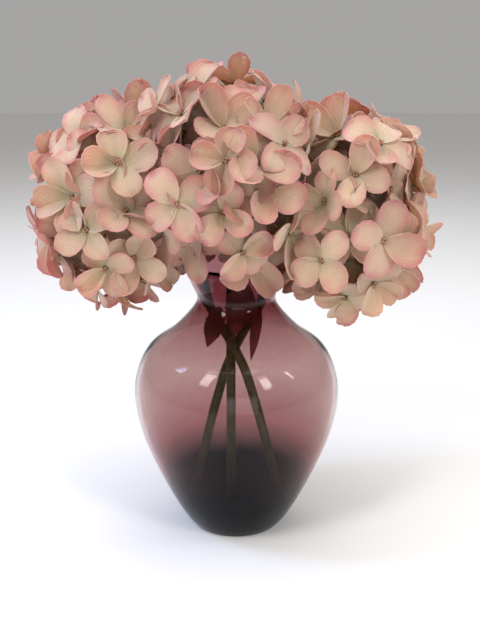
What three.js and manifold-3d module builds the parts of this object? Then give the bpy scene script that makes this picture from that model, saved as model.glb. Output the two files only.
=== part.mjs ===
// Three heads of hydrangea on bare stems in a round-bellied glass vase.
// Millimetres, +Z up. The origin is the centre of the vase's flat underside, +X is to the
// viewer's right and -Y faces the viewer.
import * as THREE from "three";
import { mergeVertices } from "three/addons/utils/BufferGeometryUtils.js";
import Module from "manifold-3d";

const wasm = await Module();
wasm.setup();

// ---------------------------------------------------------------- driving dimensions
const gap = 0.3; // clearance between pieces that rest on each other

const vase = {
  height: 198,
  footRadius: 34,
  bellyRadius: 74,
  bellyHeight: 98,
  neckRadius: 28.5,
  neckHeight: 169,
  rimRadius: 39.5,
  wall: 3.2,
  floorThickness: 12,
  floorRound: 7,
  facets: 32,
};

// A stem stands on the vase's floor, crosses the other stems and leans on the vase's neck.
const stem = {
  radius: 3.5,
  sides: 8,
  crossingHeight: 124,
  clearance: 1.5, // to the vase's neck, and between stems where they cross
  splay: 0.8, // how far out on the floor a leaning stem stands, of the floor's radius
  under: 0.4, // how far towards its head's side the middle stem stands
  crossing: 0.12, // how far out the leaning stems still are where they cross, of their splay
  topShare: 0.45, // its top lies this far from the head's centre towards the vase's mouth
};

const floret = {
  petalLength: 20.5, // centre of the floret to a petal's tip
  petalWidth: 17.5,
  thickness: 1.2,
  cup: 4.5, // how far the tips stand above the centre
  hollow: 1.4, // how far a petal's middle lies below a straight line from centre to tip
  valley: 0.24, // where two petals part, as a share of the petal's length, as are the next two
  middle: 0.58, // where a petal is deepest
  broadest: 0.66,
  crown: 0.9, // height of the centre's peak, and depth of the collar around its twig, as shares
  collar: 0.6, // of the thickness
  level: 0.6, // how much of the head's own slope a floret keeps; 0 would face the horizon
  lift: 6, // degrees that every floret looks up besides
  lean: 13, // degrees that a floret leans to one side or another
  spacing: 27, // least distance between the centres that fill the bare places
  most: 94, // florets in all, so that larger heads stay as light
  tries: 160, // places looked at on each head
};

// A floret's twig runs from its centre to a foot inside the head, which it shares with its
// neighbour's twig: footShare is the foot's distance from the middle of the head, as a share
// of the florets' own.
const twig = {
  radius: 0.9,
  footRadius: 1.1,
  footShare: 0.42,
  knot: 2.6, // the lump that joins two twigs at their foot
  footApart: 0.75, // how far from the knot's middle either twig stands, of its radius
  reach: 60, // florets further apart than this are not joined
};

const colours = {
  glass: 0x7d4a5c,
  stem: 0x4c5330,
  twig: 0x6d7a45,
  leaf: 0x5a2e33,
  petal: 0xd9b8a3,
};

const leaf = { thickness: 0.8, stations: 8 };

// Each head is an ellipsoid that the centres of its florets lie on, and its centre is given from
// the middle of the vase's rim. A planted floret is [azimuth, elevation, spin] in degrees:
// azimuth 0 faces the viewer and 90 faces +X. The first ones lie on top, and each later one
// sinks towards the middle of the head until it is clear. The side and depth say where the
// head's stem goes: to which side of the neck it leans, and before or behind the middle one.
const heads = [
  {
    name: "left",
    centre: new THREE.Vector3(-76, 0, vase.height + 38),
    radii: new THREE.Vector3(56, 70, 58),
    side: -1,
    depth: -1,
    planted: [
      [4, 38, 10], [-60, -17, 5], [-17, -4, 45], [-8, -31, 30], [12, 67, 45], [-51, 54, 20],
      [-33, 16, 20], [-63, -38, 10], [-41, -58, 60], [13, -26, 60], [9, 12, 45], [-18, 11, 60],
    ],
  },
  {
    name: "middle",
    centre: new THREE.Vector3(-10, -6, vase.height + 58),
    radii: new THREE.Vector3(68, 80, 64),
    side: 0,
    depth: 0,
    planted: [
      [-44, -27, 0], [-22, -5, 30], [15, -36, 45], [20, 17, 45], [-28, -40, 15], [-47, 30, 10],
      [-29, 45, 60], [46, -26, 80], [1, -10, 60], [37, 40, 60], [4, 18, 75], [-58, 48, 80],
      [6, 42, 30], [25, 3, 60], [34, 24, 30], [-47, 6, 20], [-30, 65, 80], [24, 59, 50],
      [88, 42, 70], [-6, 55, 80],
    ],
  },
  {
    name: "right",
    centre: new THREE.Vector3(70, 0, vase.height + 33),
    radii: new THREE.Vector3(56, 72, 63),
    side: 1,
    depth: 1,
    planted: [
      [-22, 17, 80], [5, 35, 75], [23, -5, 70], [-18, -17, 45], [24, -35, 60], [31, 20, 0],
      [-51, -31, 15], [3, -50, 80], [-42, 48, 60], [57, -6, 0], [28, 48, 60], [15, 13, 20],
      [0, 1, 50], [-26, 72, 80], [50, 28, 45], [33, -66, 0],
    ],
  },
];

// ---------------------------------------------------------------- helpers
const degrees = Math.PI / 180;
const up = new THREE.Vector3(0, 0, 1);
const mix = (from, to, share) => from + (to - from) * share;

function solidFrom(geometry) {
  const bare = new THREE.BufferGeometry();
  bare.setAttribute("position", geometry.getAttribute("position"));
  if (geometry.index) bare.setIndex(geometry.index);
  const merged = mergeVertices(bare, 1e-4);
  return new wasm.Manifold(
    new wasm.Mesh({
      numProp: 3,
      vertProperties: new Float32Array(merged.attributes.position.array),
      triVerts: new Uint32Array(merged.index.array),
    }),
  );
}

function geometryFrom(solid) {
  const mesh = solid.getMesh();
  const geometry = new THREE.BufferGeometry();
  geometry.setAttribute("position", new THREE.BufferAttribute(mesh.vertProperties, 3));
  geometry.setIndex(new THREE.BufferAttribute(mesh.triVerts, 1));
  geometry.computeVertexNormals();
  return geometry;
}

function material(name, roughness) {
  return new THREE.MeshStandardMaterial({ color: colours[name], roughness, metalness: 0 });
}

function meshOf(name, geometry, finish) {
  const mesh = new THREE.Mesh(geometry, finish);
  mesh.name = name;
  return mesh;
}

// ---------------------------------------------------------------- vase
// The outside of the vase: a spline through the sizes above, from the foot to the rim.
const outline = new THREE.SplineCurve(
  [
    [vase.footRadius, 0],
    [mix(vase.footRadius, vase.bellyRadius, 0.15), vase.bellyHeight * 0.08],
    [mix(vase.footRadius, vase.bellyRadius, 0.38), vase.bellyHeight * 0.25],
    [mix(vase.footRadius, vase.bellyRadius, 0.67), vase.bellyHeight * 0.51],
    [mix(vase.footRadius, vase.bellyRadius, 0.9), vase.bellyHeight * 0.77],
    [vase.bellyRadius, vase.bellyHeight],
    [mix(vase.neckRadius, vase.bellyRadius, 0.96), mix(vase.bellyHeight, vase.neckHeight, 0.26)],
    [mix(vase.neckRadius, vase.bellyRadius, 0.77), mix(vase.bellyHeight, vase.neckHeight, 0.52)],
    [mix(vase.neckRadius, vase.bellyRadius, 0.35), mix(vase.bellyHeight, vase.neckHeight, 0.73)],
    [vase.neckRadius, vase.neckHeight],
    [mix(vase.neckRadius, vase.rimRadius, 0.3), mix(vase.neckHeight, vase.height, 0.45)],
    [vase.rimRadius, vase.height],
  ].map(([radius, height]) => new THREE.Vector2(radius, height)),
);
const outside = outline.getPoints(17);

// The radius of the vase's inner wall at a height.
function innerRadius(height) {
  const above = outside.findIndex((point) => point.y >= height);
  const high = outside[Math.max(above, 1)];
  const low = outside[Math.max(above, 1) - 1];
  return mix(low.x, high.x, (height - low.y) / (high.y - low.y)) - vase.wall;
}

function makeVase() {
  const bowl = vase.floorThickness + vase.floorRound; // where the wall turns into the floor
  const rimRound = vase.wall / 2;
  const profile = [new THREE.Vector2(0, 0), ...outside.slice(0, -1)];
  const rim = outside.at(-1);
  for (let step = 0; step <= 3; step += 1) {
    const turn = (step / 3) * Math.PI;
    const x = rim.x - rimRound + rimRound * Math.cos(turn);
    profile.push(new THREE.Vector2(x, rim.y - rimRound + rimRound * Math.sin(turn)));
  }
  const levels = outside.filter(({ y }) => y > bowl + vase.wall && y < rim.y - 2 * rimRound);
  for (const { y } of levels.reverse()) profile.push(new THREE.Vector2(innerRadius(y), y));
  for (const turn of [0, 30, 60, 90]) {
    const reach = innerRadius(bowl) - vase.floorRound * (1 - Math.cos(turn * degrees));
    profile.push(new THREE.Vector2(reach, bowl - vase.floorRound * Math.sin(turn * degrees)));
  }
  profile.push(new THREE.Vector2(0, vase.floorThickness));
  const lathe = new THREE.LatheGeometry(profile, vase.facets);
  return lathe.rotateX(Math.PI / 2);
}

// ---------------------------------------------------------------- florets
// A floret is a thin plate of four petals around its axis, with a four-sided twig below it.
// Every petal is a fan of facets around its own middle, and the plate thins to nothing at its
// edge. The twig ends in a square around the foot.
function makeFloret(one, centre) {
  const { petalLength: length, petalWidth: width, thickness, cup, hollow } = floret;
  const rise = one.axis.clone().cross(one.side);
  const points = [];
  const put = (origin, reach, turn, level) => {
    const angle = (turn + one.spin) * degrees;
    const point = origin.clone().addScaledVector(one.side, reach * Math.cos(angle));
    point.addScaledVector(rise, reach * Math.sin(angle)).addScaledVector(one.axis, level);
    return points.push(point.toArray()) - 1;
  };
  const bowl = (reach) => cup * (reach / length) ** 2;
  const shoulder = new THREE.Vector2(floret.broadest * length, width / 2);
  const spread = shoulder.angle() / degrees;
  const edge = [];
  const collar = [];
  const foot = [];
  for (const turn of [0, 90, 180, 270]) {
    edge.push(put(centre, floret.valley * length, turn - 45, 0));
    edge.push(put(centre, shoulder.length(), turn - spread, bowl(shoulder.length())));
    edge.push(put(centre, length, turn, cup));
    edge.push(put(centre, shoulder.length(), turn + spread, bowl(shoulder.length())));
    collar.push(put(centre, twig.radius, turn - 45, -floret.collar * thickness));
    foot.push(put(one.foot, twig.footRadius, turn - 45, 0));
  }
  const crown = put(centre, 0, 0, floret.crown * thickness);
  const faces = [
    [foot[0], foot[3], foot[2]],
    [foot[0], foot[2], foot[1]],
  ];
  for (let petal = 0; petal < 4; petal += 1) {
    const next = (petal + 1) % 4;
    const reach = floret.middle * length;
    const level = bowl(reach) - hollow;
    const top = put(centre, reach, petal * 90, level + thickness / 2);
    const bottom = put(centre, reach, petal * 90, level - thickness / 2);
    const rim = [0, 1, 2, 3, 4].map((step) => edge[(petal * 4 + step) % edge.length]);
    const upper = [...rim, crown];
    const lower = [...rim, collar[next], collar[petal]];
    upper.forEach((from, step) => faces.push([top, from, upper[(step + 1) % upper.length]]));
    lower.forEach((from, step) => faces.push([bottom, lower[(step + 1) % lower.length], from]));
    faces.push([collar[petal], foot[petal], foot[next]]);
    faces.push([collar[petal], foot[next], collar[next]]);
  }
  const geometry = new THREE.BufferGeometry();
  geometry.setAttribute("position", new THREE.Float32BufferAttribute(points.flat(), 3));
  geometry.setIndex(faces.flat());
  return geometry;
}

// A straight twig from one point to another, thicker at its start.
function makeTwig(from, to, startRadius, endRadius) {
  const along = to.clone().sub(from);
  const rod = new THREE.CylinderGeometry(endRadius, startRadius, along.length(), 4);
  rod.translate(0, along.length() / 2, 0);
  const turn = new THREE.Quaternion().setFromUnitVectors(
    new THREE.Vector3(0, 1, 0),
    along.normalize(),
  );
  return rod.applyQuaternion(turn).translate(from.x, from.y, from.z);
}

// The unit direction of an azimuth and an elevation.
function direction(azimuth, elevation) {
  return new THREE.Vector3(
    Math.cos(elevation * degrees) * Math.sin(azimuth * degrees),
    -Math.cos(elevation * degrees) * Math.cos(azimuth * degrees),
    Math.sin(elevation * degrees),
  );
}

// The place of a floret on its head: its centre on the ellipsoid, and its axis, which is the
// ellipsoid's own direction there, made more level and leaning to a side that goes with the spin.
function place(head, azimuth, elevation, spin) {
  const outward = direction(azimuth, elevation);
  const centre = outward.clone().multiply(head.radii).add(head.centre);
  const square = outward.clone().divide(head.radii).normalize();
  const heading = Math.atan2(square.x, -square.y) / degrees;
  const slope = Math.asin(square.z) / degrees;
  const axis = direction(heading, floret.level * slope + floret.lift);
  const hinge = up.clone().cross(axis).normalize().applyAxisAngle(axis, 4 * spin * degrees);
  axis.applyAxisAngle(hinge, floret.lean * degrees);
  const side = up.clone().cross(axis).normalize();
  return { head, centre, axis, side, spin };
}

// True where a point is inside another head, down among the stems at the vase's mouth, or
// close over the vase's shoulder, which stays bare.
function hidden(point, head) {
  const insideAnother = heads.some((other) => {
    if (other === head) return false;
    return point.clone().sub(other.centre).divide(other.radii).length() < 1;
  });
  const out = Math.hypot(point.x, point.y);
  const atMouth = out < vase.rimRadius + 18 && point.z < vase.height + 14;
  const overShoulder = out < vase.bellyRadius + 6 && point.z < vase.height + 2;
  return insideAnother || atMouth || overShoulder;
}

// The planted florets, then more of them wherever a head is still bare. The places to try turn
// round the head by the golden angle from its top to its bottom.
function fill(spacing) {
  const places = heads.flatMap((head) => head.planted.map((row) => place(head, ...row)));
  const goldenAngle = 137.508;
  for (const head of heads) {
    for (let step = 0; step < floret.tries; step += 1) {
      const elevation = Math.asin(1 - (2 * step + 1) / floret.tries) / degrees;
      const azimuth = (step * goldenAngle) % 360;
      const next = place(head, azimuth, elevation, (step * 37) % 90);
      const near = places.some((other) => other.centre.distanceTo(next.centre) < spacing);
      if (!near && !hidden(next.centre, head)) places.push(next);
    }
  }
  return places;
}

// Larger heads take their florets further apart, not more of them.
function placeFlorets() {
  let spacing = floret.spacing;
  let places = fill(spacing);
  while (places.length > floret.most) {
    spacing += 0.5;
    places = fill(spacing);
  }
  return places;
}

// Florets of one head are joined two by two, each with its nearest free neighbour. A pair's
// twigs meet in a foot deep in the head.
function pairUp(places) {
  const pairs = [];
  const free = new Set(places);
  for (const first of places) {
    if (!free.delete(first)) continue;
    const distance = (other) => other.centre.distanceTo(first.centre);
    const near = [...free].filter((other) => other.head === first.head);
    near.sort((a, b) => distance(a) - distance(b));
    const pair = near.length && distance(near[0]) < twig.reach ? [first, near[0]] : [first];
    free.delete(pair.at(-1));
    const middle = new THREE.Vector3();
    for (const one of pair) middle.addScaledVector(one.centre, 1 / pair.length);
    const outward = middle.clone().sub(first.head.centre).divide(first.head.radii).normalize();
    const foot = outward.multiply(first.head.radii).multiplyScalar(twig.footShare);
    foot.add(first.head.centre);
    for (const one of pair) {
      const apart = one.centre.clone().sub(middle).normalize();
      one.foot = foot.clone().addScaledVector(apart, twig.footApart * twig.knot);
    }
    pairs.push({ head: first.head, pair, foot });
  }
  return pairs;
}

function isClear(solid, other) {
  const [a, b] = [solid.boundingBox(), other.boundingBox()];
  const apart = [0, 1, 2].some((i) => a.min[i] > b.max[i] + gap || b.min[i] > a.max[i] + gap);
  return apart || solid.minGap(other, gap) >= gap;
}

// Grows every floret as high as it can lie without touching what is there already: it sinks
// along its axis step by step, or else stands out a little. One with no room is left out.
function growAll(places, obstacles) {
  const sinks = [...Array(19).keys()].map((step) => 1.5 * step);
  sinks.push(-2, -4, -6, -8, -10, -12);
  const grown = new Map();
  for (const one of places) {
    for (const sink of sinks) {
      const solid = solidFrom(makeFloret(one, one.centre.clone().addScaledVector(one.axis, -sink)));
      if (![...obstacles, ...grown.values()].every((other) => isClear(solid, other))) continue;
      grown.set(one, solid);
      break;
    }
  }
  return grown;
}

// ---------------------------------------------------------------- stems and twigs
// How far the front stem and the back stem lie from the middle one.
const stemDepth = 2 * stem.radius + stem.clearance;

// Where a head's stem crosses the plane of the vase's mouth.
function mouthPoint(head) {
  const reach = head.side * (vase.rimRadius - vase.wall - stem.radius - 5);
  return new THREE.Vector3(reach || stem.under * head.centre.x, head.depth * 5, vase.height + 3);
}

function stemTop(head) {
  return head.centre.clone().lerp(mouthPoint(head), stem.topShare);
}

function makeStem(head) {
  const onFloor = -head.side * stem.splay * innerRadius(vase.floorThickness + vase.floorRound);
  const depth = head.depth * stemDepth;
  const reach = innerRadius(vase.neckHeight) - stem.radius - stem.clearance;
  const inNeck = head.side * Math.sqrt(reach ** 2 - depth ** 2);
  const top = stemTop(head);
  const short = (2 * gap) / top.distanceTo(mouthPoint(head));
  const upright = stem.under * head.centre.x;
  const foot = vase.floorThickness + gap + 0.4 * stem.radius; // clear of the floor where it leans
  const path = new THREE.CatmullRomCurve3([
    new THREE.Vector3(onFloor || upright, depth / 2, foot),
    new THREE.Vector3(onFloor * stem.crossing || upright, depth, stem.crossingHeight),
    new THREE.Vector3(inNeck || upright, depth, vase.neckHeight),
    mouthPoint(head),
    top.clone().lerp(mouthPoint(head), short),
  ]);
  const section = new THREE.Shape();
  for (let step = 0; step < stem.sides; step += 1) {
    const turn = (step / stem.sides) * 2 * Math.PI;
    const corner = [stem.radius * Math.cos(turn), stem.radius * Math.sin(turn)];
    if (step) section.lineTo(...corner);
    else section.moveTo(...corner);
  }
  section.closePath();
  return new THREE.ExtrudeGeometry(section, { steps: 18, extrudePath: path, bevelEnabled: false });
}

// The twigs of a head: a trunk from the stem's top to the middle of the head, and one branch
// from there towards the foot of every pair of florets.
function makeSpray(head, pairs) {
  const trunk = 2 * twig.radius;
  let spray = solidFrom(makeTwig(stemTop(head), head.centre, stem.radius, trunk));
  for (const { foot } of pairs.filter((pair) => pair.head === head)) {
    const short = (twig.knot + 2 * gap) / foot.distanceTo(head.centre);
    const end = foot.clone().lerp(head.centre, short);
    spray = spray.add(solidFrom(makeTwig(head.centre, end, trunk, twig.radius)));
  }
  return spray;
}

// ---------------------------------------------------------------- leaves
// A pointed leaf from its base to its tip: stations with a ridge above and below the midrib,
// bowed out towards the viewer between its two ends.
function makeLeaf(base, tip, width, bow) {
  const along = tip.clone().sub(base);
  const front = new THREE.Vector3(0, -1, 0);
  const side = along.clone().cross(front).normalize();
  const points = [base.toArray()];
  for (let step = 1; step < leaf.stations; step += 1) {
    const share = step / leaf.stations;
    const middle = base.clone().addScaledVector(along, share);
    middle.addScaledVector(front, bow * Math.sin(Math.PI * share));
    const half = (width / 2) * Math.sin(Math.PI * share ** 0.8);
    for (const turn of [0, 90, 180, 270]) {
      const point = middle.clone().addScaledVector(side, half * Math.cos(turn * degrees));
      point.addScaledVector(front, (leaf.thickness / 2) * Math.sin(turn * degrees));
      points.push(point.toArray());
    }
  }
  points.push(tip.toArray());
  const faces = [];
  const last = points.length - 1;
  for (let edge = 0; edge < 4; edge += 1) {
    const next = (edge + 1) % 4;
    faces.push([0, 1 + edge, 1 + next]);
    for (let step = 0; step < leaf.stations - 2; step += 1) {
      const [low, high] = [1 + 4 * step, 5 + 4 * step];
      faces.push([low + edge, high + next, low + next], [low + edge, high + edge, high + next]);
    }
    faces.push([last, last - 4 + next, last - 4 + edge]);
  }
  const geometry = new THREE.BufferGeometry();
  geometry.setAttribute("position", new THREE.Float32BufferAttribute(points.flat(), 3));
  geometry.setIndex(faces.flat());
  geometry.computeVertexNormals();
  return geometry;
}

// ---------------------------------------------------------------- the whole
const root = new THREE.Group();
root.add(meshOf("vase", makeVase(), material("glass", 0.08)));

const places = placeFlorets();
const pairs = pairUp(places);
const sprays = heads.map((head) => makeSpray(head, pairs));
const stems = heads.map(makeStem);
heads.forEach((head, index) => {
  root.add(meshOf(`${head.name}_stem`, stems[index], material("stem", 0.6)));
  root.add(meshOf(`${head.name}_twigs`, geometryFrom(sprays[index]), material("twig", 0.7)));
});

const solids = root.children.map((child) => solidFrom(child.geometry));
const grown = growAll(places, solids);
const counts = new Map();
for (const { head, pair, foot } of pairs) {
  const parts = pair.filter((one) => grown.has(one));
  if (!parts.length) continue;
  const count = (counts.get(head) ?? 0) + 1;
  counts.set(head, count);
  const knot = new THREE.IcosahedronGeometry(twig.knot, 0).translate(foot.x, foot.y, foot.z);
  const cluster = parts.reduce((sum, one) => sum.add(grown.get(one)), solidFrom(knot));
  const name = `${head.name}_florets_${String(count).padStart(2, "0")}`;
  root.add(meshOf(name, geometryFrom(cluster), material("petal", 0.75)));
}
// The leaves hang in the neck: sideways places and widths are shares of its inner radius, and
// the left and middle leaf lie before the front stem.
const neckInside = innerRadius(vase.neckHeight);
const front = stemDepth + stem.radius;
const inNeck = (share, depth, height) =>
  new THREE.Vector3(share * neckInside, -depth, vase.neckHeight + height);
const leaves = [
  ["left_leaf", inNeck(-0.42, front + 2, 0), inNeck(-0.8, front + 4, -30), 0.58, 2],
  ["middle_leaf", inNeck(0.24, front + 2, 18), inNeck(-0.08, front + 4, -22), 0.87, 2],
  ["right_leaf", inNeck(0.63, stemDepth, 2), inNeck(0.4, stemDepth + 4, -42), 0.32, 3],
];
for (const [name, base, tip, width, bow] of leaves) {
  root.add(meshOf(name, makeLeaf(base, tip, width * neckInside, bow), material("leaf", 0.6)));
}

export default root;
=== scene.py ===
# Three heads of silk hydrangea on bare stems in a purple glass vase. Metres, +Z up.
import math

import bmesh
import bpy
import numpy as np
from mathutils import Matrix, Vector


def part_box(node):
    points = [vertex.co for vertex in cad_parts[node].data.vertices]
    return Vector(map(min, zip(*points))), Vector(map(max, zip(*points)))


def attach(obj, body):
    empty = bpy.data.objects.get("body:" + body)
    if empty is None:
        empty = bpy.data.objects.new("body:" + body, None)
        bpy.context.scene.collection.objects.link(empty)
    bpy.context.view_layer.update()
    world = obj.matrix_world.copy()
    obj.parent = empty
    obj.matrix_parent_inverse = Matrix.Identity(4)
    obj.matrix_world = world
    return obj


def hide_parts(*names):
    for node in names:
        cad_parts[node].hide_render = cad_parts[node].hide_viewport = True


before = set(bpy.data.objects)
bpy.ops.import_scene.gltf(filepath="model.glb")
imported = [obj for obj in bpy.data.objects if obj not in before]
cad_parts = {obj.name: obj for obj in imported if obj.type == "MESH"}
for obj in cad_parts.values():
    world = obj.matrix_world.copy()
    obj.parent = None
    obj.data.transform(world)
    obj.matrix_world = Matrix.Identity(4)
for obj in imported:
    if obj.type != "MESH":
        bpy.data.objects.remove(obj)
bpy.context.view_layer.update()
print("frame loaded,", len(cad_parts), "nodes")

pole = 1e-8  # radius of a circle that closes to a point
seam = 1e-7  # points nearer than this are merged


def unit(vectors):
    # each vector divided by its length
    return vectors / np.linalg.norm(vectors, axis=-1, keepdims=True)


def nodePoints(name):
    # the corners of a CAD node, each once
    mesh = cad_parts[name].data
    flat = np.empty(3 * len(mesh.vertices))
    mesh.vertices.foreach_get("co", flat)
    points = flat.reshape(-1, 3)
    keep = np.unique(np.round(points / 2e-6), axis=0, return_index=True)[1]
    return points[np.sort(keep)]


def spline(points, count):
    # a curve through the points: between two of them a cubic whose slopes come from the neighbours
    points = np.asarray(points, float)
    last = len(points) - 1
    share = np.linspace(0, last, count)
    low = np.minimum(share.astype(int), last - 1)
    w = (share - low)[:, None]
    a, b = points[low], points[low + 1]
    before, after = points[np.maximum(low - 1, 0)], points[np.minimum(low + 2, last)]
    slopeA, slopeB = (b - before) / 2, (after - a) / 2
    cubic = (2 * a - 2 * b + slopeA + slopeB) * w**3
    return cubic + (3 * b - 3 * a - 2 * slopeA - slopeB) * w**2 + slopeA * w + a


def gridFaces(rows, columns, around=False):
    # quads between neighbouring points of a rows x columns grid; around joins the last column
    wide = columns if around else columns - 1
    r, c = np.meshgrid(np.arange(rows - 1), np.arange(wide), indexing="ij")
    n = (c + 1) % columns
    quads = np.stack([r * columns + c, r * columns + n, (r + 1) * columns + n, (r + 1) * columns + c], -1)
    return quads.reshape(-1, 4)


def copied(quads, count, pointCount):
    # the same quads for count shapes whose points follow one another
    return (quads[None] + np.arange(count)[:, None, None] * pointCount).reshape(-1, 4)


def circles(axes, sides, away):
    # unit circles square to the axes: the cosine of the turn along one side, the sine along the
    # other; away is a direction that no axis lies along
    turn = np.linspace(0, 2 * np.pi, sides, endpoint=False)[:, None]
    side = unit(np.cross(axes, away))
    other = np.cross(axes, side)
    return side[:, None, None] * np.cos(turn) + other[:, None, None] * np.sin(turn)


def tubes(starts, ends, startRadius, endRadius, bow, steps=5, sides=6):
    # tubes from starts to ends: a circle carried along each line, which sags by bow in its middle
    # and thins from one radius to the other; the first and last circle shrink to a point
    starts, ends = np.atleast_2d(starts), np.atleast_2d(ends)
    share = np.concatenate([[0], np.linspace(0, 1, steps + 1), [1]])[None, :, None]
    bend = np.atleast_2d(bow)[:, None, :] * 4 * share * (1 - share)
    middle = starts[:, None] * (1 - share) + ends[:, None] * share + bend
    radius = startRadius * (1 - share) + endRadius * share
    radius[:, [0, -1]] = pole
    circle = circles(unit(ends - starts), sides, [0.31, 0.17, 0.93])
    points = middle[:, :, None] + circle * radius[..., None]
    rows = share.size
    quads = gridFaces(rows, sides, around=True)
    return points.reshape(-1, 3), copied(quads, len(starts), rows * sides)


def balls(centres, axes, radius, rows, columns, flat=1.0):
    # spheres, flattened along their axes: circles whose radius is the sine of the polar angle
    polar = np.linspace(0, np.pi, rows)[:, None, None]
    circle = circles(axes, columns, [0.3, 0.5, 0.81])
    along = flat * axes[:, None, None] * np.cos(polar)
    points = centres[:, None, None] + radius * (circle * np.sin(polar) + along)
    quads = gridFaces(rows, columns, around=True)[:, ::-1]
    return points.reshape(-1, 3), copied(quads, len(centres), rows * columns)


def carried(path, radii, sides):
    # one tube: circles of the given radii carried along a path, square to it
    along = unit(np.gradient(path, axis=0))
    side = unit(np.cross(along, [0.0, 1.0, 0.0]))
    other = np.cross(along, side)
    turn = np.linspace(0, 2 * np.pi, sides, endpoint=False)[None, :, None]
    ring = side[:, None] * np.cos(turn) + other[:, None] * np.sin(turn)
    return (path[:, None] + ring * radii).reshape(-1, 3), gridFaces(len(path), sides, around=True)


def shellFaces(rows, columns):
    # the quads of a sheet, of a second sheet below it, and of the rim that joins the two
    top = gridFaces(rows, columns)
    rim = np.concatenate(
        [
            np.arange(columns),
            np.arange(2, rows + 1) * columns - 1,
            np.arange(rows * columns - 2, (rows - 1) * columns - 1, -1),
            np.arange(rows - 2, 0, -1) * columns,
        ]
    )
    after = np.roll(rim, -1)
    below = rows * columns
    joining = np.stack([after, rim, rim + below, after + below], -1)
    return np.concatenate([top, top[:, ::-1] + below, joining])


def closeSeams(mesh):
    # merges the doubled points at the poles of turned and carried shapes
    work = bmesh.new()
    work.from_mesh(mesh)
    bmesh.ops.remove_doubles(work, verts=work.verts, dist=seam)
    work.to_mesh(mesh)
    work.free()


def makePiece(name, parts, slot, *replaced):
    # joins parts (points, quads, material, and a uv and tone if they have them) into one object
    # that rides on the frame
    materials = []
    for part in parts:
        if part["material"] not in materials:
            materials.append(part["material"])
    counts = [len(part["points"]) for part in parts]
    starts = np.cumsum([0] + counts)
    points = np.concatenate([part["points"] for part in parts])
    quads = np.concatenate([part["quads"] + start for part, start in zip(parts, starts)])
    uvs = np.concatenate([part.get("uv", np.zeros((count, 2))) for part, count in zip(parts, counts)])
    tones = np.concatenate([part.get("tone", np.zeros((count, 3))) for part, count in zip(parts, counts)])
    slots = [materials.index(part["material"]) for part in parts]
    mesh = bpy.data.meshes.new(name)
    mesh.from_pydata(points.tolist(), [], quads.tolist())
    corners = np.empty(len(mesh.loops), int)
    mesh.loops.foreach_get("vertex_index", corners)
    mesh.uv_layers.new(name="surface").data.foreach_set("uv", uvs[corners].ravel())
    mesh.attributes.new("tone", "FLOAT_VECTOR", "POINT").data.foreach_set("vector", tones.ravel())
    mesh.polygons.foreach_set("material_index", np.repeat(slots, [len(part["quads"]) for part in parts]))
    for material in materials:
        mesh.materials.append(material)
    closeSeams(mesh)
    mesh.shade_smooth()
    mesh.set_sharp_from_angle(angle=math.radians(55))
    piece = bpy.data.objects.new(name, mesh)
    bpy.context.scene.collection.objects.link(piece)
    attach(piece, "root")
    if replaced:
        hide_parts(*replaced)


def linear(red, green, blue):
    # a colour given as on a paint chart, 0 to 255, in linear light
    share = np.array([red, green, blue]) / 255
    light = np.where(share <= 0.04045, share / 12.92, ((share + 0.055) / 1.055) ** 2.4)
    return (*light.tolist(), 1.0)


def fillSockets(tree, node, inputs):
    # an input is a value or another node's output
    for key, value in inputs.items():
        if isinstance(value, bpy.types.NodeSocket):
            tree.links.new(value, node.inputs[key])
        else:
            node.inputs[key].default_value = value


def addNode(tree, kind, inputs=None, **settings):
    # a shader node with its settings and inputs
    node = tree.nodes.new("ShaderNode" + kind)
    for key, value in settings.items():
        setattr(node, key, value)
    fillSockets(tree, node, inputs or {})
    return node


def maths(tree, operation, first, second=0.0, third=0.0):
    # the result of one arithmetic step
    return addNode(tree, "Math", {0: first, 1: second, 2: third}, operation=operation).outputs[0]


def blended(tree, share, first, second):
    # first where share is 0, second where it is 1
    return addNode(tree, "Mix", {0: share, 6: first, 7: second}, data_type="RGBA").outputs[2]


def ramp(tree, share, stops):
    # colours at places along 0 to 1
    node = addNode(tree, "ValToRGB", {0: share})
    elements = node.color_ramp.elements
    while len(elements) < len(stops):
        elements.new(0.5)
    for element, (place, colour) in zip(elements, stops):
        element.position = place
        element.color = colour
    return node.outputs[0]


def smoothStep(tree, value, low, high):
    # 0 below low, 1 above high, eased between
    inputs = {0: value, 1: low, 2: high, 3: 0.0, 4: 1.0}
    return addNode(tree, "MapRange", inputs, interpolation_type="SMOOTHSTEP").outputs[0]


def newMaterial(name, sockets):
    # a material whose sockets hold what is the same all over the surface
    material = bpy.data.materials.new(name)
    material.use_nodes = True
    tree = material.node_tree
    shader = tree.nodes["Principled BSDF"]
    fillSockets(tree, shader, sockets)
    return material, tree, shader


vase = {
    "footRadius": 0.034,
    "neckRadius": 0.0285,
    "neckHeight": 0.169,
    "bellyHeight": 0.098,
    "rimRadius": 0.0395,
    "swell": ((0.15, 0.08), (0.38, 0.25), (0.67, 0.51), (0.9, 0.77)),  # shares, out and up, foot to belly
    "shoulder": ((0.96, 0.26), (0.77, 0.52), (0.35, 0.73)),  # shares, out and up, belly to neck
    "flare": (0.3, 0.45),  # shares, out and up, neck to rim
    "wall": 0.0032,
    "floor": 0.012,
    "floorRound": 0.007,
    "around": 144,
    "tintHeight": 0.2,  # the tints' places are shares of this
    "smoke": linear(8, 8, 11),  # the glass of the foot
    "dusk": linear(176, 124, 126),
    "clear": linear(210, 187, 183),  # the glass of the belly
    # the neck's glass, darker: partly its own tint, partly painted shade of the leaves inside it
    "neckTintAndShade": linear(160, 106, 112),
    # the glass's reflection at the foot, dimmed: painted shade
    "footGlossPaintedShade": linear(150, 150, 160),
    "bellyGloss": linear(255, 255, 255),
}


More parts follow.
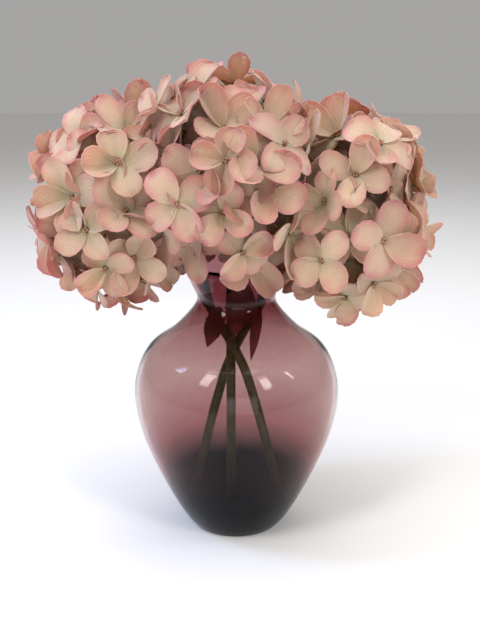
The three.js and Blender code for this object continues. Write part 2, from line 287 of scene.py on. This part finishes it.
def vaseProfile(size):
    # radius and height: a spline up the outside, a half circle over the rim, and down the inside
    # one wall's thickness closer to the axis, to a quarter circle into the flat floor
    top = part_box("vase")[1]
    belly, height = top[0], top[2]
    foot, neck, rim = size["footRadius"], size["neckRadius"], size["rimRadius"]
    low, waist = size["bellyHeight"], size["neckHeight"]
    wall, floor, bend = size["wall"], size["floor"], size["floorRound"]

    def between(first, second, share):
        return first + (second - first) * share

    out, up = size["flare"]
    outline = [(foot, 0)]
    outline += [(between(foot, belly, a), low * b) for a, b in size["swell"]]
    outline.append((belly, low))
    outline += [(between(neck, belly, a), between(low, waist, b)) for a, b in size["shoulder"]]
    outline += [(neck, waist), (between(neck, rim, out), between(waist, height, up)), (rim, height)]
    outside = spline(outline, 90)
    lip = wall / 2
    outside = outside[outside[:, 1] < height - lip - 0.0005]
    turn = np.linspace(0, np.pi, 9)
    over = np.stack([rim - lip + lip * np.cos(turn), height - lip + lip * np.sin(turn)], -1)
    inside = outside[outside[:, 1] > floor + bend][::-1] - [wall, 0]
    corner = inside[-1, 0] - bend
    turn = np.linspace(0, np.pi / 2, 7)[1:]
    fillet = np.stack([corner + bend * np.cos(turn), floor + bend * (1 - np.sin(turn))], -1)
    below = [[pole, 0], [0.6 * foot, 0], [foot - 0.001, 0]]
    bottom = [[0.5 * corner, floor], [pole, floor]]
    return np.concatenate([below, outside, over, inside, fillet, bottom])


def makeGlass(size):
    # clear purple glass that turns to smoke towards the foot and darkens at the neck, partly with painted
    # shade; its reflection is dimmed at the foot with painted shade; with the faint waves of blown glass
    sockets = {"Roughness": 0.0, "IOR": 1.3, "Transmission Weight": 1.0, "Base Color": size["clear"]}
    material, tree, shader = newMaterial("blownGlass", sockets)
    place = addNode(tree, "TexCoord").outputs["Object"]
    height = addNode(tree, "SeparateXYZ", {0: place}).outputs[2]
    share = maths(tree, "DIVIDE", height, size["tintHeight"])
    # darker at the neck: partly the glass's own tint, partly painted shade
    tints = ((0.15, "smoke"), (0.27, "dusk"), (0.45, "clear"), (0.68, "clear"), (0.83, "neckTintAndShade"))
    tint = ramp(tree, share, [(at, size[name]) for at, name in tints])
    # the reflection dimmed towards the foot: painted shade
    glossWithPaintedShade = ramp(tree, share, [(0.2, size["footGlossPaintedShade"]), (0.5, size["bellyGloss"])])
    waves = addNode(tree, "TexNoise", {"Vector": place, "Scale": 11.0, "Detail": 0.0}).outputs[0]
    bump = addNode(tree, "Bump", {"Strength": 0.15, "Distance": 0.002, "Height": waves}).outputs[0]
    fillSockets(tree, shader, {"Base Color": tint, "Specular Tint": glossWithPaintedShade, "Normal": bump})
    return material


def makeVase(size):
    # the profile turned round the vertical axis
    profile = vaseProfile(size)
    turn = np.linspace(0, 2 * np.pi, size["around"], endpoint=False)
    radius, height = profile[:, :1], profile[:, 1:]
    points = np.stack(np.broadcast_arrays(radius * np.cos(turn), radius * np.sin(turn), height), -1)
    quads = gridFaces(len(profile), len(turn), around=True)
    part = {"points": points.reshape(-1, 3), "quads": quads, "material": makeGlass(size)}
    makePiece("glass_vase", [part], "vase_glass", "vase")


makeVase(vase)
print("vase made")


# sizes of the CAD florets, which tell where each one is
plate = {
    "petal": 0.0205,
    "thickness": 0.0012,
    "cup": 0.0045,
    "valley": 0.24,  # where two petals part, as a share of a petal
    "crown": 0.9,  # the height of the middle, in thicknesses
    "near": 2e-5,  # how closely a distance has to agree
    "below": 0.0025,  # what lies this far below the petals belongs to the foot
}


def readFlorets(name, size):
    # A CAD floret's crown is the corner with four petal tips and four petal joints at their set
    # distances. The tips lie above the crown, which gives the floret's axis.
    points = nodePoints(name)
    gaps = np.linalg.norm(points[:, None] - points[None], axis=2)
    crownHeight = size["crown"] * size["thickness"]
    tips = abs(gaps - math.hypot(size["petal"], size["cup"] - crownHeight)) < size["near"]
    joints = abs(gaps - math.hypot(size["valley"] * size["petal"], crownHeight)) < size["near"]
    found = []
    for crown in np.flatnonzero((tips.sum(1) >= 4) & (joints.sum(1) >= 4)):
        ends = points[tips[crown]][:4]
        axis = unit(ends.mean(0) - points[crown])
        centre = points[crown] - crownHeight * axis
        tip = ends[0] - centre
        found.append({"centre": centre, "axis": axis, "tip": unit(tip - axis * (tip @ axis))})
    below = np.all([(points - one["centre"]) @ one["axis"] < -size["below"] for one in found], axis=0)
    foot = points[below].mean(0)
    for one in found:
        one["foot"] = foot
    return found


def gathered(poses, key):
    # one value of every floret, as an array
    return np.array([one[key] for one in poses])


headNames = ("left", "middle", "right")
clusters = {name: readFlorets(name, plate) for name in sorted(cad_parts) if "_florets_" in name}
headFlorets = {}
for headName in headNames:
    headFlorets[headName] = [one for name in clusters if name.startswith(headName) for one in clusters[name]]
hearts = {headName: gathered(own, "foot").mean(0) for headName, own in headFlorets.items()}
shells = {headName: gathered(own, "centre") for headName, own in headFlorets.items()}
print("florets read:", sum(len(own) for own in headFlorets.values()))


petal = {
    "length": 0.0228,
    "width": 0.0208,
    "claw": 0.001,  # where a petal starts, from the floret's middle
    "thickness": 0.0004,
    "ripple": 0.0009,
    "overlap": 0.0006,  # every second petal starts this much higher
    "rows": 8,
    "columns": 5,
    "sizes": (0.86, 1.12),  # of a whole floret
    "lengths": (0.9, 1.05),  # of one petal
    "widths": (0.88, 1.06),
    "rises": (0.05, 0.55),  # slope of a whole floret's petals
    "ownRises": (-0.15, 0.3),  # slope of one petal on top of it
    "curls": (-0.2, 0.44),
    "cup": 0.1,
    "cupMore": 1.15,  # for the most cupped petals, on top of it
    "twist": 0.25,
    "lean": 0.08,
    "turn": 0.12,
    "roseMost": 0.75,
    "cream": linear(204, 172, 146),
    "sage": linear(176, 166, 130),
    "rose": linear(182, 106, 110),
    "vein": linear(142, 98, 78),
}


def petalPoints(s, t, length, width, rise, curl, cup, ripple, twist, lean):
    # One petal on a grid, s from its base to its tip and t from side to side. Its half width is
    # that of an egg standing on its narrow end: the root of 1 - (2 s^1.35 - 1)^2, on a short claw.
    # Its height grows by rise with s and falls by curl with s cubed, its sides stand up by cup
    # with t squared, its end bends sideways by lean and a sine ripple runs along the margin.
    egg = np.sqrt(np.clip(1 - (2 * s**1.35 - 1) ** 2, 0.006, 1))
    half = width / 2 * (0.1 * (1 - s) ** 2 + 0.9 * egg + 0.04 * s * (1 - s))
    x = half * t + lean * length * s**2
    y = petal["claw"] + (length - petal["claw"]) * s
    z = length * (rise * s - curl * s**3) + cup * half * (t**2 - 0.3)
    z = z + petal["ripple"] * np.sin(5 * t + ripple) * s**2 + np.tan(twist) * x * s
    return np.stack(np.broadcast_arrays(x, y, z), -1)


def aroundFloret(poses, turn):
    # directions in each floret's plane, at the given angles from its first petal
    axis, tip = gathered(poses, "axis"), gathered(poses, "tip")
    cross = np.cross(axis, tip)
    return tip[:, None] * np.cos(turn)[..., None] + cross[:, None] * np.sin(turn)[..., None]


def petalSheets(poses, seed, scale=1.0, openness=1.0):
    # four petals for every pose: the surface above, its copy one thickness below, and a rim
    rng = np.random.default_rng(seed)
    count = len(poses)
    whole, single = (count, 1, 1, 1), (count, 4, 1, 1)
    rows, columns = petal["rows"], petal["columns"]
    grown = scale * rng.uniform(*petal["sizes"], whole)
    s = (1 - np.cos(np.pi * np.linspace(0, 1, rows)))[:, None] / 2
    t = np.sin(np.pi / 2 * np.linspace(-1, 1, columns))[None]
    local = petalPoints(
        s,
        t,
        length=grown * petal["length"] * rng.uniform(*petal["lengths"], single),
        width=grown * petal["width"] * rng.uniform(*petal["widths"], single),
        rise=rng.uniform(*petal["rises"], whole) * openness + rng.uniform(*petal["ownRises"], single),
        curl=rng.uniform(*petal["curls"], single),
        cup=petal["cup"] + petal["cupMore"] * rng.uniform(0, 1, single) ** 2,
        ripple=rng.uniform(0, 6.3, single),
        twist=rng.uniform(-petal["twist"], petal["twist"], single),
        lean=rng.uniform(-petal["lean"], petal["lean"], single),
    )
    local[..., 2] += petal["overlap"] * np.array([0, 1, 0, 1])[None, :, None, None]
    across = np.gradient(local, axis=3)
    along = np.gradient(local, axis=2)
    along[..., -1, :, :] = along[..., -2, :, :]  # the tip's own slopes are too short to trust
    across[..., -1, :, :] = across[..., -2, :, :]
    normal = unit(np.cross(across, along))
    both = np.stack([local, local - petal["thickness"] * normal], 2)
    turn = np.pi / 2 * np.arange(4)[None] + rng.uniform(-petal["turn"], petal["turn"], (count, 4))
    centre, axis = gathered(poses, "centre"), gathered(poses, "axis")
    ahead = aroundFloret(poses, turn)
    side = np.cross(ahead, axis[:, None])
    basis = np.stack([side, ahead, np.broadcast_to(axis[:, None], ahead.shape)], 2)
    points = np.einsum("npkrcj,npjm->npkrcm", both, basis) + centre[:, None, None, None, None]
    uv = np.stack(np.broadcast_arrays(t / 2 + 0.5, s), -1)
    # florets are pinker to the left and at the top
    pinker = 2.6 * np.maximum(-centre[:, 0] - 0.03, 0) + 3.5 * np.maximum(centre[:, 2] - 0.275, 0)
    rose = np.clip(rng.uniform(0, petal["roseMost"], count) + pinker, 0, 1)
    shared = np.stack([rose, rng.uniform(0, 1, count)], -1)[:, None].repeat(4, 1)
    tone = np.concatenate([shared, rng.uniform(0, 1, (count, 4, 1))], 2)
    return {
        "points": points.reshape(-1, 3),
        "quads": copied(shellFaces(rows, columns), count * 4, 2 * rows * columns),
        "uv": np.tile(uv.reshape(-1, 2), (count * 8, 1)),
        "tone": tone.reshape(-1, 3).repeat(2 * rows * columns, 0),
        "material": petalMaterial,
    }


floretMiddle = {
    "buttonRadius": 0.0022,
    "buttonFlat": 0.5,
    "buttonRise": 0.0004,
    "beadRadius": 0.00105,
    "beadOut": 0.00125,
    "beadRises": (0.0015, 0.0021),
    "bead": linear(168, 128, 98),
    "beadFleck": linear(140, 104, 74),
    "button": linear(104, 76, 50),
    "buttonFleck": linear(84, 60, 36),
}


def floretCentres(poses, seed):
    # a flat button with four beads on it
    rng = np.random.default_rng(seed)
    centre, axis = gathered(poses, "centre"), gathered(poses, "axis")
    low = centre + floretMiddle["buttonRise"] * axis
    button, buttonQuads = balls(low, axis, floretMiddle["buttonRadius"], 5, 8, floretMiddle["buttonFlat"])
    turn = np.pi / 4 + np.pi / 2 * np.arange(4) + rng.uniform(-0.2, 0.2, (len(poses), 4))
    rise = rng.uniform(*floretMiddle["beadRises"], (len(poses), 4, 1)) * axis[:, None]
    beads = centre[:, None] + floretMiddle["beadOut"] * aroundFloret(poses, turn) + rise
    bead, beadQuads = balls(beads.reshape(-1, 3), axis.repeat(4, 0), floretMiddle["beadRadius"], 5, 6)
    return [
        {"points": button, "quads": buttonQuads, "material": buttonMaterial},
        {"points": bead, "quads": beadQuads, "material": beadMaterial},
    ]


def makePetalSilk(size):
    # Ribbed silk: cream with a sage base and a rose margin, fine veins that fan from the base, and
    # a slow mottling. u runs across a petal and v along it; tone holds each floret's own share of
    # rose and sage, and each petal's lightness.
    sockets = {
        "Roughness": 0.85,
        "Sheen Weight": 0.2,
        "Sheen Roughness": 0.6,
        "Subsurface Weight": 0.5,
        "Subsurface Radius": (1.0, 0.5, 0.3),
        "Subsurface Scale": 0.003,
    }
    material, tree, shader = newMaterial("ribbedSilk", sockets)
    surface = addNode(tree, "UVMap", uv_map="surface").outputs[0]
    u, v, _ = addNode(tree, "SeparateXYZ", {0: surface}).outputs
    stored = addNode(tree, "Attribute", attribute_name="tone").outputs["Vector"]
    ownRose, ownSage, ownLight = addNode(tree, "SeparateXYZ", {0: stored}).outputs
    place = addNode(tree, "TexCoord").outputs["Object"]
    mottle = addNode(tree, "TexNoise", {"Vector": place, "Scale": 160.0, "Detail": 3.0}).outputs[0]
    across = maths(tree, "MULTIPLY_ADD", u, 2.0, -1.0)

    # rose along the margin, more of it on some florets
    sides = maths(tree, "POWER", maths(tree, "ABSOLUTE", across), 2.6)
    sides = maths(tree, "MULTIPLY", sides, smoothStep(tree, v, 0.12, 0.5))
    margin = maths(tree, "MAXIMUM", sides, smoothStep(tree, v, 0.7, 1.02))
    margin = maths(tree, "MULTIPLY", margin, maths(tree, "MULTIPLY_ADD", mottle, 0.9, 0.45))
    roseShare = maths(tree, "MULTIPLY", margin, maths(tree, "MULTIPLY_ADD", ownRose, 0.7, 0.32))
    roseShare = maths(tree, "ADD", roseShare, maths(tree, "MULTIPLY_ADD", ownRose, 0.3, -0.08))

    # sage at the base, then the rose over it
    base = maths(tree, "SUBTRACT", 1.0, smoothStep(tree, v, 0.0, 0.62))
    sageShare = maths(tree, "MULTIPLY", base, maths(tree, "MULTIPLY_ADD", ownSage, 0.8, 0.2))
    colour = blended(tree, sageShare, size["cream"], size["sage"])
    colour = blended(tree, addNode(tree, "Clamp", {0: roseShare}).outputs[0], colour, size["rose"])

    # veins: a sine across the petal that wanders a little
    wander = addNode(tree, "TexNoise", {"Vector": surface, "Scale": 5.0, "Detail": 2.0}).outputs[0]
    lane = maths(tree, "ADD", maths(tree, "MULTIPLY", across, 38.0), maths(tree, "MULTIPLY", wander, 9.0))
    rib = maths(tree, "MULTIPLY_ADD", maths(tree, "SINE", lane), 0.5, 0.5)
    fine = maths(tree, "POWER", rib, 3.0)
    veinShare = maths(tree, "MULTIPLY", fine, maths(tree, "MULTIPLY_ADD", mottle, 0.24, 0.02))
    colour = blended(tree, veinShare, colour, size["vein"])

    light = maths(tree, "MULTIPLY_ADD", ownLight, 0.3, 0.78)
    light = maths(tree, "MULTIPLY", light, maths(tree, "MULTIPLY_ADD", mottle, 0.3, 0.85))
    final = addNode(tree, "HueSaturation", {"Value": light, "Color": colour}).outputs[0]
    relief = maths(tree, "MULTIPLY_ADD", mottle, 0.5, rib)
    bump = addNode(tree, "Bump", {"Strength": 0.35, "Distance": 0.0003, "Height": relief}).outputs[0]
    fillSockets(tree, shader, {"Base Color": final, "Normal": bump})
    return material


def makeWaxy(name, colour, darker, scale):
    # a matt moulded finish with darker flecks
    material, tree, shader = newMaterial(name, {"Roughness": 0.55})
    place = addNode(tree, "TexCoord").outputs["Object"]
    flecks = addNode(tree, "TexNoise", {"Vector": place, "Scale": scale, "Detail": 4.0}).outputs[0]
    final = blended(tree, smoothStep(tree, flecks, 0.35, 0.7), colour, darker)
    bump = addNode(tree, "Bump", {"Strength": 0.3, "Distance": 0.0004, "Height": flecks}).outputs[0]
    fillSockets(tree, shader, {"Base Color": final, "Normal": bump})
    return material


petalMaterial = makePetalSilk(petal)
beadMaterial = makeWaxy("bead", floretMiddle["bead"], floretMiddle["beadFleck"], 900.0)
buttonMaterial = makeWaxy("button", floretMiddle["button"], floretMiddle["buttonFleck"], 700.0)

for index, (nodeName, found) in enumerate(clusters.items()):
    parts = [petalSheets(found, 100 + index)]
    parts += floretCentres(found, 300 + index)
    makePiece(nodeName.replace("_florets_", "_silk_florets_"), parts, "petal_fabric", nodeName)
print("florets made")


# florets behind the outer ones, in two layers, each at its own depth: a share of the outer
# florets' distance from the heart of the head
layers = {
    "second": {"depth": 0.87, "clearOfOuter": 0.0145, "apart": 0.021, "tries": 110, "scale": 0.97},
    "inner": {"depth": 0.66, "clearOfOuter": 0.012, "apart": 0.022, "tries": 70, "scale": 0.92},
}
added = {
    "openness": 0.9,
    "forks": 0.3,  # where an added floret's stalk leaves its branch, as a share of the way out
    "mouthTop": 0.208,  # none of them is lower than this
    "mouthRadius": 0.046,  # while it is nearer to the vase's axis than this
    "bareSpots": [((-0.098, -0.045, 0.196), 0.03), ((0.05, -0.05, 0.218), 0.02)],  # where twigs show
}


def layerPoses(headName, size, seed):
    # Directions turned by the golden angle. In each, the outer florets' distance from the heart
    # is the mean of their own distances, weighted to those that lie that way.
    rng = np.random.default_rng(seed)
    heart, spokes = hearts[headName], shells[headName] - hearts[headName]
    step = np.arange(size["tries"])
    height = 1 - (2 * step + 1) / size["tries"]
    angle = np.radians(137.508) * step
    flat = np.sqrt(1 - height**2)
    ways = np.stack([flat * np.cos(angle), flat * np.sin(angle), height], -1)
    weight = np.exp(14 * (ways @ unit(spokes).T))
    distance = (weight * np.linalg.norm(spokes, axis=1)).sum(1) / weight.sum(1)
    places = heart + ways * (size["depth"] * distance)[:, None]
    outer = np.concatenate(list(shells.values()))
    poses = []
    for place, way in zip(places, ways):
        tooNear = np.linalg.norm(outer - place, axis=1).min() < size["clearOfOuter"]
        crowded = any(np.linalg.norm(one["centre"] - place) < size["apart"] for one in poses)
        atMouth = place[2] < added["mouthTop"] and math.hypot(place[0], place[1]) < added["mouthRadius"]
        bare = any(np.linalg.norm(place - spot) < radius for spot, radius in added["bareSpots"])
        if tooNear or crowded or atMouth or bare:
            continue
        axis = unit(way * [1, 1, 0.6] + rng.uniform(-0.25, 0.25, 3))
        tip = unit(np.cross(axis, rng.normal(size=3)))
        fork = heart + added["forks"] * (place - heart)
        poses.append({"centre": place, "axis": axis, "tip": tip, "foot": fork})
    return poses


addedFlorets = {headName: [] for headName in headNames}
for layerIndex, (layerName, layer) in enumerate(layers.items()):
    for headIndex, headName in enumerate(headNames):
        seed = 500 + 10 * layerIndex + headIndex
        poses = layerPoses(headName, layer, seed)
        parts = [petalSheets(poses, seed, layer["scale"], added["openness"])]
        parts += floretCentres(poses, seed + 100)
        makePiece(headName + "_" + layerName + "_florets", parts, "petal_fabric")
        addedFlorets[headName] += poses
print("florets added behind:", [len(poses) for poses in addedFlorets.values()])


stem = {
    "radius": 0.0035,
    "waist": 0.03,  # how much thinner it is between two rings, as a share
    "rings": 23,
    "cadSides": 8,
    "bark": linear(86, 102, 50),
    "dark": linear(58, 70, 34),
}


def stemPart(name, size):
    # a circle carried along a spline through the middles of the CAD stem's rings of corners; its
    # radius swells with the fourth power of a sine, and the two circles at each end lie together
    points = nodePoints(name)
    low, high = points[np.argmin(points[:, 2])], points[np.argmax(points[:, 2])]
    order = np.argsort((points - low) @ (high - low))
    route = points[order].reshape(-1, size["cadSides"], 3).mean(1)
    path = spline(route, 70)
    share = np.linspace(0, 1, len(path))
    radii = size["radius"] * (1 - size["waist"] + size["waist"] * np.sin(size["rings"] * share) ** 4)
    radii[[0, -1]] = pole
    path[1], path[-2] = path[0] + seam, path[-1] + seam
    points, quads = carried(path, radii[:, None, None], 20)
    return {"points": points, "quads": quads, "material": stemMaterial}, route[-1]


twig = {
    "trunk": (0.0032, 0.0022),  # radius at the stem and at the heart
    "branch": (0.0018, 0.0011),  # at the heart and at the fork
    "stalk": 0.00065,  # at the floret
    "knot": 0.0019,
    "sag": 0.0008,  # of a branch
    "arch": 0.0022,  # of a stalk, towards its floret's axis
    "green": linear(128, 132, 74),
    "brown": linear(110, 92, 58),
}


def twigParts(stemTop, heart, poses, size):
    # a trunk to the heart, a branch from it to every fork with a knot there, and the stalks
    foot, axis = gathered(poses, "foot"), gathered(poses, "axis")
    end = gathered(poses, "centre") - 0.0008 * axis
    forks = np.unique(np.round(foot, 4), axis=0)
    lean = unit(end - foot)
    arch = size["arch"] * (axis - lean * (axis * lean).sum(1)[:, None])
    shapes = [
        tubes(stemTop, heart, *size["trunk"], [0, 0, 0.001], 4, 8),
        tubes(np.broadcast_to(heart, forks.shape), forks, *size["branch"], [0, 0, -size["sag"]]),
        tubes(foot, end, size["branch"][1], size["stalk"], arch, 6),
        balls(forks, unit(forks - heart), size["knot"], 5, 8),
    ]
    return [{"points": points, "quads": quads, "material": twigMaterial} for points, quads in shapes]


stemMaterial = makeWaxy("stemBark", stem["bark"], stem["dark"], 260.0)
twigMaterial = makeWaxy("twigGreen", twig["green"], twig["brown"], 300.0)
for headName in headNames:
    bareStem, stemTop = stemPart(headName + "_stem", stem)
    makePiece(headName + "_bare_stem", [bareStem], "stem_plastic", headName + "_stem")
    poses = headFlorets[headName] + addedFlorets[headName]
    spray = twigParts(stemTop, hearts[headName], poses, twig)
    makePiece(headName + "_twig_spray", spray, "twig_plastic", headName + "_twigs")
print("stems and twigs made")


leaf = {
    "thickness": 0.0005,
    "rows": 40,
    "columns": 9,
    "teeth": 9,
    "toothDepth": 0.13,  # as a share of the half width
    "fold": 0.28,
    "green": linear(150, 92, 78),
    "brown": linear(104, 58, 46),
}


def leafPart(name, size):
    # A leaf between the farthest two corners of its CAD solid: its half width is the sine of
    # pi s^0.8 with teeth along it, it bows with the solid and folds up along the midrib.
    points = nodePoints(name)
    gaps = np.linalg.norm(points[:, None] - points[None], axis=2)
    first, second = np.unravel_index(gaps.argmax(), gaps.shape)
    base, tip = sorted((points[first], points[second]), key=lambda point: -point[2])
    along = tip - base
    front = np.array([0.0, -1.0, 0.0])
    side = unit(np.cross(along, front))
    half = abs((points - base) @ side).max()
    bow = ((points - base) @ front - (points - base) @ along / (along @ along) * (along @ front)).max()
    s = np.linspace(0.0, 1, size["rows"])[:, None, None]
    t = np.linspace(-1, 1, size["columns"])[None, :, None]
    teeth = 1 - size["toothDepth"] * np.mod(size["teeth"] * s, 1.0) * t**2
    wide = half * np.sin(np.pi * np.clip(s, 0.004, 0.996) ** 0.8) * teeth
    midrib = base + along * s + front * bow * np.sin(np.pi * s)
    grid = midrib + side * wide * t + front * (size["fold"] * wide * (np.abs(t) - 0.5))
    under = grid - front * size["thickness"]
    uv = np.stack(np.broadcast_arrays(t[..., 0] / 2 + 0.5, s[..., 0]), -1).reshape(-1, 2)
    return {
        "points": np.concatenate([grid.reshape(-1, 3), under.reshape(-1, 3)]),
        "quads": shellFaces(size["rows"], size["columns"]),
        "uv": np.tile(uv, (2, 1)),
        "material": leafMaterial,
    }


leafMaterial = makeWaxy("leafSilk", leaf["green"], leaf["brown"], 90.0)
for headName in headNames:
    nodeName = headName + "_leaf"
    makePiece(headName + "_silk_leaf", [leafPart(nodeName, leaf)], "leaf_fabric", nodeName)
print("leaves made")


studio = {
    "eye": (0.0026, -0.6, 0.33),
    "aim": (0.0026, 0.0, 0.1546),
    "lens": 49.0,
    "floor": linear(244, 242, 240),
    "floorRadius": 6.0,
    "middle": Vector((0, 0, 0.15)),  # what the lights look at
    "sky": (1.0, 0.985, 0.97, 1.0),
    "skyStrength": 0.38,
    # azimuth (0 in front, 90 to the right), elevation, distance, width, height, power, colour
    "lights": {
        "softTop": (-15, 84, 1.6, 1.3, 1.0, 10.0, (1.0, 1.0, 1.0)),
        "softBack": (170, 55, 1.6, 1.2, 0.8, 6.0, (1.0, 1.0, 1.0)),
        "lampLeft": (-40, 42, 1.4, 0.26, 0.7, 7.5, (1.0, 1.0, 1.0)),
        "lampRight": (38, 34, 1.4, 0.24, 0.5, 5.5, (1.0, 1.0, 1.0)),
        "frontFill": (6, 6, 1.5, 0.9, 0.5, 2.6, (1.0, 1.0, 1.0)),
        "windowBlue": (-86, 44, 1.3, 0.26, 0.42, 7.0, (0.45, 0.6, 1.0)),
        "slit": (74, 36, 1.3, 0.06, 0.4, 1.4, (1.0, 1.0, 1.0)),
    },
}


def makeFloor(size):
    # a pale round floor under the vase
    sockets = {"Roughness": 0.9, "Base Color": size["floor"]}
    material = newMaterial("paleFloor", sockets)[0]
    turn = np.linspace(0, 2 * np.pi, 64, endpoint=False)
    rim = size["floorRadius"] * np.stack([np.cos(turn), np.sin(turn), 0 * turn], -1)
    mesh = bpy.data.meshes.new("floor")
    mesh.from_pydata((rim - [0, 0, 0.0004]).tolist(), [], [list(range(64))])
    mesh.materials.append(material)
    floor = bpy.data.objects.new("floor", mesh)
    bpy.context.scene.collection.objects.link(floor)


def makeLight(name, azimuth, elevation, distance, width, height, power, colour):
    # a rectangular light that looks at the vase
    light = bpy.data.lights.new(name, "AREA")
    light.shape, light.size, light.size_y = "RECTANGLE", width, height
    light.energy, light.color = power, colour
    turn, slope = math.radians(azimuth), math.radians(elevation)
    level = distance * math.cos(slope)
    offset = Vector((level * math.sin(turn), -level * math.cos(turn), distance * math.sin(slope)))
    lamp = bpy.data.objects.new(name, light)
    lamp.location = studio["middle"] + offset
    lamp.rotation_euler = (-offset).to_track_quat("-Z", "Y").to_euler()
    bpy.context.scene.collection.objects.link(lamp)


def makeSky(size):
    # even light from all round
    world = bpy.data.worlds.new("studio")
    world.use_nodes = True
    background = world.node_tree.nodes["Background"]
    background.inputs["Color"].default_value = size["sky"]
    background.inputs["Strength"].default_value = size["skyStrength"]
    bpy.context.scene.world = world


def makeCamera(size):
    # stands in front and looks a little down at the vase
    lens = bpy.data.cameras.new("camera")
    lens.lens, lens.sensor_width = size["lens"], 36.0
    camera = bpy.data.objects.new("camera", lens)
    camera.location = size["eye"]
    look = Vector(size["aim"]) - Vector(size["eye"])
    camera.rotation_euler = look.to_track_quat("-Z", "Y").to_euler()
    bpy.context.scene.collection.objects.link(camera)
    bpy.context.scene.camera = camera


makeFloor(studio)
makeCamera(studio)
for lightName, values in studio["lights"].items():
    makeLight(lightName, *values)
makeSky(studio)
bpy.context.scene.view_settings.view_transform = "Standard"
print("studio ready")
